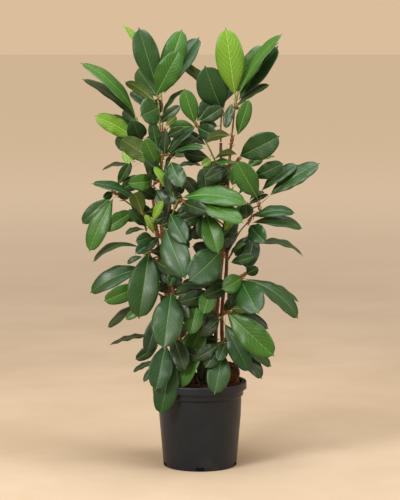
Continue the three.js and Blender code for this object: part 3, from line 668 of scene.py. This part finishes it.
def make_chips(material):
    """Loose bark chips and coir crumbs on the soil."""
    pot_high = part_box("pot")[1]
    draw = random.Random(11)
    vertices, faces = [], []
    for _ in range(CHIPS):
        angle = draw.uniform(0, 6.283)
        reach = (pot_high.x - 15 * MM) * math.sqrt(draw.random())
        centre = Vector((reach * math.cos(angle), reach * math.sin(angle),
                         pot_high.z - SOIL_BELOW_RIM + draw.uniform(-0.8, 1.6) * MM))
        size = Vector((draw.uniform(2, 7), draw.uniform(1.2, 3.6), draw.uniform(0.7, 2))) * MM / 1.2
        spin = Matrix.Rotation(draw.uniform(0, 6.28), 3, "Z")
        turn = spin @ Matrix.Rotation(draw.uniform(-0.5, 0.5), 3, "X")
        start = len(vertices)
        for x, y, z in ((-1, -.6, -.5), (-.4, .9, -.5), (.9, .5, -.5), (.6, -1, -.5),
                        (-.8, -.5, .5), (-.3, .7, .6), (.8, .4, .4), (.4, -.8, .5)):
            jitter = Vector((draw.uniform(-.2, .2), draw.uniform(-.2, .2), draw.uniform(-.15, .15)))
            corner = Vector((x, y, z)) + jitter
            offset = Vector((corner.x * size.x, corner.y * size.y, corner.z * size.z))
            vertices.append(centre + turn @ offset)
        for face in CHIP_FACES:
            faces.append(tuple(start + i for i in face[::-1]))
    piece = new_object("bark_chips", vertices, faces, [material], smooth=False)
    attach(piece, "root")
    return piece


# (reach, height) of a root ball's side, as shares, from its foot to its top
BALL_PROFILE = ((1, 0), (1, 0.25), (0.99, 0.5), (0.97, 0.72),
                (0.9, 0.86), (0.72, 0.95), (0.4, 0.99), (0.0, 1))
BALL_RINGS = 40
BALL_SIDES = 72


def ball_surface(node):
    """A function that gives the root ball's surface and its outward direction.

    It takes t, from 0 at the foot to 1 at the top, and an angle.
    """
    low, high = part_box(node)
    centre = (low + high) / 2
    radius = (high.x - low.x) / 2
    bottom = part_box("pot")[1].z - 30 * MM

    def surface(t, angle):
        place = t * (len(BALL_PROFILE) - 1)
        i = min(int(place), len(BALL_PROFILE) - 2)
        f = place - i
        lower, upper = BALL_PROFILE[i], BALL_PROFILE[i + 1]
        reach = lower[0] + (upper[0] - lower[0]) * f
        height = lower[1] + (upper[1] - lower[1]) * f
        point = Vector((centre.x + radius * reach * math.cos(angle),
                        centre.y + radius * reach * math.sin(angle),
                        bottom + (high.z - 2 * MM - bottom) * height))
        out = Vector((math.cos(angle) * reach, math.sin(angle) * reach, 0.25 + height * 0.6))
        out = out.normalized()
        return point + out * (crumble(point, 60, 2.2 * MM) + crumble(point, 240, 1.0 * MM)), out

    return surface


def strand(surface, draw, vertices, faces):
    """Adds one loose three-sided fibre that lies over the root ball."""
    t = draw.uniform(0.25, 0.97)
    angle = draw.uniform(0, 6.283)
    heading = draw.uniform(-1, 1)
    thick = draw.uniform(0.3, 0.9) * MM
    swing = draw.uniform(-0.6, 0.6)
    rail = []
    for step in range(STRAND_STEPS + 1):
        f = step / STRAND_STEPS
        place, out = surface(max(0.02, min(0.99, t - 0.16 * f * math.cos(heading * 2))),
                             angle + 0.5 * f * math.sin(heading * 3) + swing * f * f)
        rail.append((place + out * (0.6 + 2.2 * math.sin(math.pi * f) * draw.random()) * MM, out))
    start = len(vertices)
    for step, (place, out) in enumerate(rail):
        ahead = rail[min(STRAND_STEPS, step + 1)][0] - rail[max(0, step - 1)][0]
        side = ahead.normalized().cross(out).normalized()
        for corner in range(3):
            a = corner * THIRD_TURN
            vertices.append(place + (side * math.cos(a) + out * math.sin(a)) * thick)
    for step in range(STRAND_STEPS):
        for k in range(3):
            a = start + step * 3 + k
            b = start + step * 3 + (k + 1) % 3
            faces.append((a, b, b + 3, a + 3))
    faces.append((start + 2, start + 1, start))
    faces.append(tuple(start + STRAND_STEPS * 3 + k for k in range(3)))


def make_root_ball(node, material):
    """A rough mound of fibre, with strands of coir and root lying over it."""
    surface = ball_surface(node)
    vertices, faces = [], []
    for ring in range(BALL_RINGS):
        for k in range(BALL_SIDES):
            vertices.append(surface(ring / BALL_RINGS, 2 * math.pi * k / BALL_SIDES)[0])
    vertices.append(surface(1, 0)[0])
    for ring in range(BALL_RINGS - 1):
        for k in range(BALL_SIDES):
            a = ring * BALL_SIDES + k
            b = ring * BALL_SIDES + (k + 1) % BALL_SIDES
            faces.append((a, b, b + BALL_SIDES, a + BALL_SIDES))
    last = (BALL_RINGS - 1) * BALL_SIDES
    for k in range(BALL_SIDES):
        faces.append((last + k, last + (k + 1) % BALL_SIDES, len(vertices) - 1))
    faces.append(tuple(range(BALL_SIDES))[::-1])
    draw = random.Random(node)
    for _ in range(STRANDS):
        strand(surface, draw, vertices, faces)
    piece = new_object(node.replace("root_ball", "coir_root_ball"), vertices, faces, [material])
    declare(piece, "root_fibre", node)
    return piece


# ------------------------------------------------------------------ materials
def srgb(red, green, blue):
    """A display colour (0 to 255) as the linear colour that shaders use."""
    def linear(value):
        value /= 255
        return value / 12.92 if value <= 0.04045 else ((value + 0.055) / 1.055) ** 2.4
    return (linear(red), linear(green), linear(blue), 1)


class Graph:
    """A material's node tree, with short helpers for making and joining nodes."""

    def __init__(self, name):
        self.material = bpy.data.materials.new(name)
        self.material.use_nodes = True
        self.tree = self.material.node_tree
        self.tree.nodes.clear()
        self.output = self.tree.nodes.new("ShaderNodeOutputMaterial")

    def node(self, kind, inputs=None, **settings):
        made = self.tree.nodes.new(kind)
        for key, value in settings.items():
            setattr(made, key, value)
        for key, value in (inputs or {}).items():
            self.put(made.inputs[key], value)
        return made

    def put(self, socket, value):
        if isinstance(value, bpy.types.NodeSocket):
            self.tree.links.new(value, socket)
        else:
            socket.default_value = value

    def math(self, operation, a, b=0.0, c=0.0, clamp=False):
        made = self.node("ShaderNodeMath", {0: a, 1: b, 2: c}, operation=operation)
        made.use_clamp = clamp
        return made.outputs[0]

    def attribute(self, name):
        return self.node("ShaderNodeAttribute", attribute_name=name).outputs["Fac"]

    def mix(self, factor, a, b, blend="MIX"):
        made = self.node("ShaderNodeMix", data_type="RGBA", blend_type=blend)
        self.put(made.inputs[0], factor)
        self.put(made.inputs[6], a)
        self.put(made.inputs[7], b)
        return made.outputs[2]

    def ramp(self, value, stops):
        made = self.node("ShaderNodeValToRGB", {"Fac": value})
        elements = made.color_ramp.elements
        while len(elements) < len(stops):
            elements.new(0.5)
        for element, (position, colour) in zip(elements, stops):
            element.position = position
            element.color = colour
        return made.outputs["Color"]

    def step(self, value, low, high):
        """0 below low, 1 above high, smooth between them."""
        made = self.node("ShaderNodeMapRange", {"Value": value, "From Min": low, "From Max": high},
                         interpolation_type="SMOOTHSTEP")
        return made.outputs["Result"]

    def noise(self, scale, detail=4.0, roughness=0.55, vector=None):
        inputs = {"Scale": scale, "Detail": detail, "Roughness": roughness}
        if vector is not None:
            inputs["Vector"] = vector
        return self.node("ShaderNodeTexNoise", inputs).outputs["Fac"]

    def place(self):
        return self.node("ShaderNodeTexCoord").outputs["Object"]

    def bump(self, height, distance, strength=1.0, normal=None):
        inputs = {"Height": height, "Distance": distance, "Strength": strength}
        if normal is not None:
            inputs["Normal"] = normal
        return self.node("ShaderNodeBump", inputs).outputs["Normal"]

    def surface(self, shader):
        self.tree.links.new(shader, self.output.inputs["Surface"])
        return self.material


def leaf_material():
    g = Graph("fig_leaf")
    u, v = g.attribute("leaf_u"), g.attribute("leaf_v")
    half, length = g.attribute("leaf_half"), g.attribute("leaf_length")
    under, age, seed = g.attribute("leaf_under"), g.attribute("leaf_age"), g.attribute("leaf_seed")
    across = g.math("ABSOLUTE", v)
    from_rib = g.math("MULTIPLY", across, half)

    # side veins: they leave the midrib and bend forward towards the margin
    bend = g.math("MULTIPLY", g.math("POWER", across, 1.25), 0.30)
    phase = g.math("MULTIPLY", g.math("SUBTRACT", u, bend), float(VEIN_PAIRS))
    wobble = g.math("MULTIPLY", g.math("SUBTRACT", g.noise(60.0, 2.0, vector=g.place()), 0.5), 0.35)
    phase = g.math("ADD", phase, wobble)
    ridge = g.math("ABSOLUTE", g.math("SUBTRACT", g.math("FRACT", g.math("ADD", phase, 0.5)), 0.5))
    spacing = g.math("DIVIDE", length, float(VEIN_PAIRS))
    vein_mm = g.math("MULTIPLY", ridge, spacing)
    side_vein = g.math("SUBTRACT", 1.0, g.step(vein_mm, 0.25, 1.15))
    side_vein = g.math("MULTIPLY", side_vein, g.math("SUBTRACT", 1.0, g.step(across, 0.72, 0.97)))
    rib_width = g.math("ADD", g.math("MULTIPLY", g.math("SUBTRACT", 1.0, u), 0.75), 0.25)
    rib = g.math("SUBTRACT", 1.0, g.step(g.math("DIVIDE", from_rib, rib_width), 0.55, 1.25))
    net = g.node("ShaderNodeTexVoronoi", {"Vector": g.place(), "Scale": 520.0}, feature="DISTANCE_TO_EDGE")
    net = g.math("SUBTRACT", 1.0, g.step(net.outputs["Distance"], 0.02, 0.14))

    # colour by age, uneven over the blade, paler at the veins and below
    top = g.ramp(age, [
        (0.00, srgb(88, 134, 32)), (0.17, srgb(72, 118, 24)), (0.33, srgb(30, 86, 14)),
        (0.55, srgb(16, 64, 20)), (0.70, srgb(11, 53, 25)), (1.00, srgb(7, 36, 19)),
    ])
    patches = g.noise(14.0, 3.0, vector=g.place())
    shade = g.math("MULTIPLY", g.math("SUBTRACT", seed, 0.5), 0.5)
    shade = g.math("ADD", shade, g.math("MULTIPLY", g.math("SUBTRACT", patches, 0.5), 0.7))
    lush = g.mix(1.0, top, srgb(255, 250, 120), "MULTIPLY")
    top = g.mix(g.math("ADD", 0.35, shade, clamp=True), top, g.mix(1.0, lush, srgb(26, 36, 6), "ADD"))
    darker = g.mix(1.0, top, srgb(150, 175, 165), "MULTIPLY")
    top = g.mix(g.math("MULTIPLY", g.step(across, 0.35, 1.0), 0.35), top, darker)
    fresh = g.math("SUBTRACT", 1.0, g.step(age, 0.1, 0.5))
    vein_colour = g.mix(fresh, srgb(84, 128, 70), srgb(176, 200, 96))
    top = g.mix(g.math("MULTIPLY", net, 0.10), top, vein_colour)
    vein_strength = g.math("ADD", 0.18, g.math("MULTIPLY", fresh, 0.22))
    top = g.mix(g.math("MULTIPLY", side_vein, vein_strength), top, vein_colour)
    top = g.mix(g.math("MULTIPLY", rib, 0.6), top, g.mix(fresh, srgb(118, 154, 78), srgb(188, 208, 110)))
    rim = g.step(across, 0.955, 0.995)
    top = g.mix(g.math("MULTIPLY", rim, 0.30), top, srgb(120, 150, 80))
    below = g.mix(fresh, srgb(72, 100, 44), srgb(124, 160, 52))
    below = g.mix(g.math("MULTIPLY", side_vein, 0.4), below, srgb(150, 170, 100))
    below = g.mix(g.math("MULTIPLY", net, 0.22), below, srgb(70, 98, 44))
    below = g.mix(g.math("MULTIPLY", rib, 0.8), below, srgb(170, 180, 96))
    colour = g.mix(under, top, below)

    # gloss: a waxy upper side with faint dust and water marks, a matte underside
    marks = g.noise(38.0, 5.0, vector=g.place())
    gloss = g.math("ADD", 0.28, g.math("MULTIPLY", marks, 0.24))
    gloss = g.math("ADD", gloss, g.math("MULTIPLY", under, 0.24))
    height = g.math("ADD", g.math("MULTIPLY", side_vein, -0.6), g.math("MULTIPLY", rib, -0.5))
    height = g.math("MULTIPLY", height, g.math("SUBTRACT", 1.0, g.math("MULTIPLY", under, 2.0)))
    height = g.math("ADD", height, g.math("MULTIPLY", net, -0.12))
    height = g.math("ADD", height, g.math("MULTIPLY", g.noise(260.0, 3.0, vector=g.place()), 0.35))
    normal = g.bump(height, 0.35 * MM, 0.8)
    principled = g.node("ShaderNodeBsdfPrincipled", {
        "Base Color": colour, "Roughness": gloss, "Normal": normal,
        "Specular IOR Level": 0.36, "Coat Weight": 0.08, "Coat Roughness": 0.25,
    })
    through = g.mix(1.0, colour, srgb(225, 240, 110), "MULTIPLY")
    glow = g.node("ShaderNodeBsdfTranslucent", {"Color": through, "Normal": normal})
    mixed = g.node("ShaderNodeMixShader", {0: 0.14, 1: principled.outputs[0], 2: glow.outputs[0]})
    return g.surface(mixed.outputs[0])


def bark_material(name, young, old, tint):
    g = Graph(name)
    place = g.place()
    stretched = g.node("ShaderNodeMapping", {"Vector": place, "Scale": (1.0, 1.0, 0.22)}).outputs[0]
    fissures = g.noise(620.0, 6.0, 0.65, stretched)
    patches = g.noise(55.0, 4.0, 0.6, place)
    specks = g.node("ShaderNodeTexVoronoi", {"Vector": place, "Scale": 480.0})
    lenticels = g.math("SUBTRACT", 1.0, g.step(specks.outputs["Distance"], 0.12, 0.26))
    colour = g.mix(g.step(patches, 0.35, 0.68), young, old)
    colour = g.mix(g.math("MULTIPLY", g.step(fissures, 0.5, 0.72), 0.55), colour, srgb(40, 24, 14))
    colour = g.mix(g.math("MULTIPLY", lenticels, 0.35), colour, tint)
    green = g.attribute("green")
    stalk = g.mix(g.step(g.noise(90.0, 2.0, vector=place), 0.3, 0.7), srgb(120, 150, 62), srgb(96, 132, 52))
    colour = g.mix(green, colour, stalk)
    height = g.math("ADD", fissures, g.math("MULTIPLY", lenticels, 0.5))
    normal = g.bump(height, 0.5 * MM, 0.7)
    rough = g.math("SUBTRACT", 0.82, g.math("MULTIPLY", green, 0.36))
    principled = g.node("ShaderNodeBsdfPrincipled", {
        "Base Color": colour, "Roughness": rough, "Normal": normal,
    })
    return g.surface(principled.outputs[0])


def stipule_material():
    g = Graph("papery_stipule")
    place = g.place()
    streaks = g.noise(700.0, 4.0, 0.6, place)
    colour = g.ramp(streaks, [
        (0.3, srgb(76, 40, 24)), (0.5, srgb(124, 70, 40)), (0.72, srgb(164, 108, 66)),
    ])
    normal = g.bump(streaks, 0.3 * MM, 0.6)
    principled = g.node("ShaderNodeBsdfPrincipled", {
        "Base Color": colour, "Roughness": 0.55, "Normal": normal, "Subsurface Weight": 0.05,
    })
    return g.surface(principled.outputs[0])


def pot_material():
    g = Graph("pot_plastic")
    place = g.place()
    grain = g.noise(900.0, 3.0, 0.6, place)
    cloud = g.noise(9.0, 4.0, 0.6, place)
    flow = g.node("ShaderNodeMapping", {"Vector": place, "Scale": (1.0, 1.0, 0.12)}).outputs[0]
    streak = g.noise(70.0, 3.0, 0.5, flow)
    height = g.node("ShaderNodeSeparateXYZ", {"Vector": place}).outputs["Z"]
    colour = g.mix(g.step(cloud, 0.3, 0.7), srgb(15, 21, 28), srgb(20, 27, 34))
    dust = g.math("MULTIPLY", g.step(g.noise(30.0, 6.0, 0.7, place), 0.48, 0.75), 0.10)
    low = g.math("SUBTRACT", 1.0, g.step(height, 0.0, 0.05))
    colour = g.mix(g.math("MULTIPLY", dust, g.math("ADD", 0.35, low)), colour, srgb(84, 76, 66))
    rough = g.math("ADD", 0.30, g.math("MULTIPLY", g.math("ADD", cloud, streak), 0.09))
    rough = g.math("ADD", rough, g.math("MULTIPLY", dust, 0.8))
    bumps = g.math("ADD", grain, g.math("MULTIPLY", streak, 1.5))
    normal = g.bump(bumps, 0.12 * MM, 0.55)
    principled = g.node("ShaderNodeBsdfPrincipled", {
        "Base Color": colour, "Roughness": rough, "Normal": normal, "Specular IOR Level": 0.24,
        "Coat Weight": 0.12, "Coat Roughness": 0.24,
    })
    return g.surface(principled.outputs[0])


def soil_material(name, dark, middle, light):
    g = Graph(name)
    place = g.place()
    coarse = g.noise(170.0, 8.0, 0.7, place)
    crumbs = g.node("ShaderNodeTexVoronoi", {"Vector": place, "Scale": 420.0})
    colour = g.ramp(coarse, [(0.3, dark), (0.52, middle), (0.74, light)])
    # painted shade: each crumb is painted darker towards its edge, in the low gaps between crumbs
    shade = g.math("MULTIPLY", g.step(crumbs.outputs["Distance"], 0.0, 0.5), 0.5)
    colour = g.mix(shade, colour, g.mix(1.0, colour, srgb(120, 120, 120), "MULTIPLY"))
    # painted shade: the mix is painted near-black below 0.02 m and fades back to its own colour by 0.15 m,
    # for the shadow deep inside the pot
    up = g.node("ShaderNodeSeparateXYZ", {"Vector": place}).outputs["Z"]
    colour = g.mix(g.step(up, 0.02, 0.15), srgb(10, 8, 7), colour)
    height = g.math("SUBTRACT", coarse, crumbs.outputs["Distance"])
    normal = g.bump(height, 1.2 * MM, 0.9)
    principled = g.node("ShaderNodeBsdfPrincipled", {
        "Base Color": colour, "Roughness": 0.93, "Normal": normal,
    })
    return g.surface(principled.outputs[0])


def floor_material():
    """Pale round the pot, and paler with distance, so that the floor fades into the backdrop."""
    g = Graph("pale_floor")
    place = g.place()
    cloud = g.noise(1.6, 5.0, 0.6, place)
    near = g.mix(g.step(cloud, 0.3, 0.7), srgb(174, 158, 138), srgb(164, 148, 127))
    from_pot = g.node("ShaderNodeVectorMath", {0: place}, operation="LENGTH").outputs["Value"]
    colour = g.mix(g.step(from_pot, FLOOR_FADE[0], FLOOR_FADE[1]), near, srgb(242, 241, 240))
    principled = g.node("ShaderNodeBsdfPrincipled", {
        "Base Color": colour, "Roughness": 0.9, "Specular IOR Level": 0.0,
    })
    return g.surface(principled.outputs[0])


# ------------------------------------------------------------------ studio
FLOOR_HALF_WIDTH = 60.0
FLOOR_FADE = (0.6, 9.0)  # metres from the pot where the floor starts and stops fading


def make_floor():
    wide = FLOOR_HALF_WIDTH
    floor = new_object("floor", [(-wide, -wide, 0), (wide, -wide, 0), (wide, wide, 0), (-wide, wide, 0)],
                       [(0, 1, 2, 3)], [floor_material()])


def make_light(name, place, target, size, power, colour):
    light = bpy.data.lights.new(name, "AREA")
    light.shape = "RECTANGLE"
    light.size, light.size_y = size
    light.energy = power
    light.color = colour
    lamp = bpy.data.objects.new(name, light)
    lamp.location = place
    lamp.rotation_euler = (Vector(target) - Vector(place)).to_track_quat("-Z", "Y").to_euler()
    bpy.context.scene.collection.objects.link(lamp)


def make_studio():
    world = bpy.data.worlds.new("studio")
    world.use_nodes = True
    background = world.node_tree.nodes["Background"]
    background.inputs["Color"].default_value = srgb(219, 191, 157)
    background.inputs["Strength"].default_value = 1.0
    bpy.context.scene.world = world
    middle = (0, 0, 0.6)
    make_light("key", (-2.2, -2.6, 2.7), middle, (1.2, 1.2), 170, (1.0, 0.98, 0.94))
    make_light("fill", (3.0, -1.6, 1.8), middle, (1.2, 1.6), 50, (1.0, 0.98, 0.95))
    make_light("sky", (0.3, -0.5, 3.4), middle, (2.4, 1.8), 130, (0.94, 0.98, 1.0))


CAMERA_DISTANCE = 5.25
CAMERA_HEIGHT = 1.145
CAMERA_PITCH = 6.4
CAMERA_LENS = 149.0


def make_camera():
    data = bpy.data.cameras.new("camera")
    data.lens = CAMERA_LENS
    data.sensor_width = 36
    camera = bpy.data.objects.new("camera", data)
    camera.location = (0, -CAMERA_DISTANCE, CAMERA_HEIGHT)
    camera.rotation_euler = (math.radians(90 - CAMERA_PITCH), 0, 0)
    bpy.context.scene.collection.objects.link(camera)
    bpy.context.scene.camera = camera


# ------------------------------------------------------------------ the whole plant
def main():
    make_camera()
    make_floor()
    make_studio()
    bpy.context.scene.view_settings.view_transform = "Standard"

    leaf = leaf_material()
    bark = bark_material("stem_bark", srgb(120, 76, 46), srgb(84, 50, 30), srgb(170, 128, 88))
    twig_bark = bark_material("twig_bark", srgb(128, 86, 46), srgb(96, 58, 32), srgb(170, 132, 88))
    scale = stipule_material()
    make_pot(pot_material())
    soil = soil_material("potting_mix", srgb(38, 22, 14), srgb(84, 48, 26), srgb(130, 84, 48))
    fibre = soil_material("coir", srgb(34, 18, 10), srgb(104, 60, 32), srgb(206, 156, 100))
    make_soil(soil)
    make_chips(fibre)
    stems = stem_points()
    for node in sorted(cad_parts):
        if node.startswith("root_ball"):
            make_root_ball(node, fibre)
        elif node.startswith("stem"):
            make_stem(node, bark)
        elif node.startswith("shoot"):
            leaves, rest = read_leaves(node)
            end = twig_end(rest, stems)
            make_leaves(node, leaves, leaf)
            make_twig(node, rest, leaves, twig_bark)
            make_stipules(node, end, scale)


main()
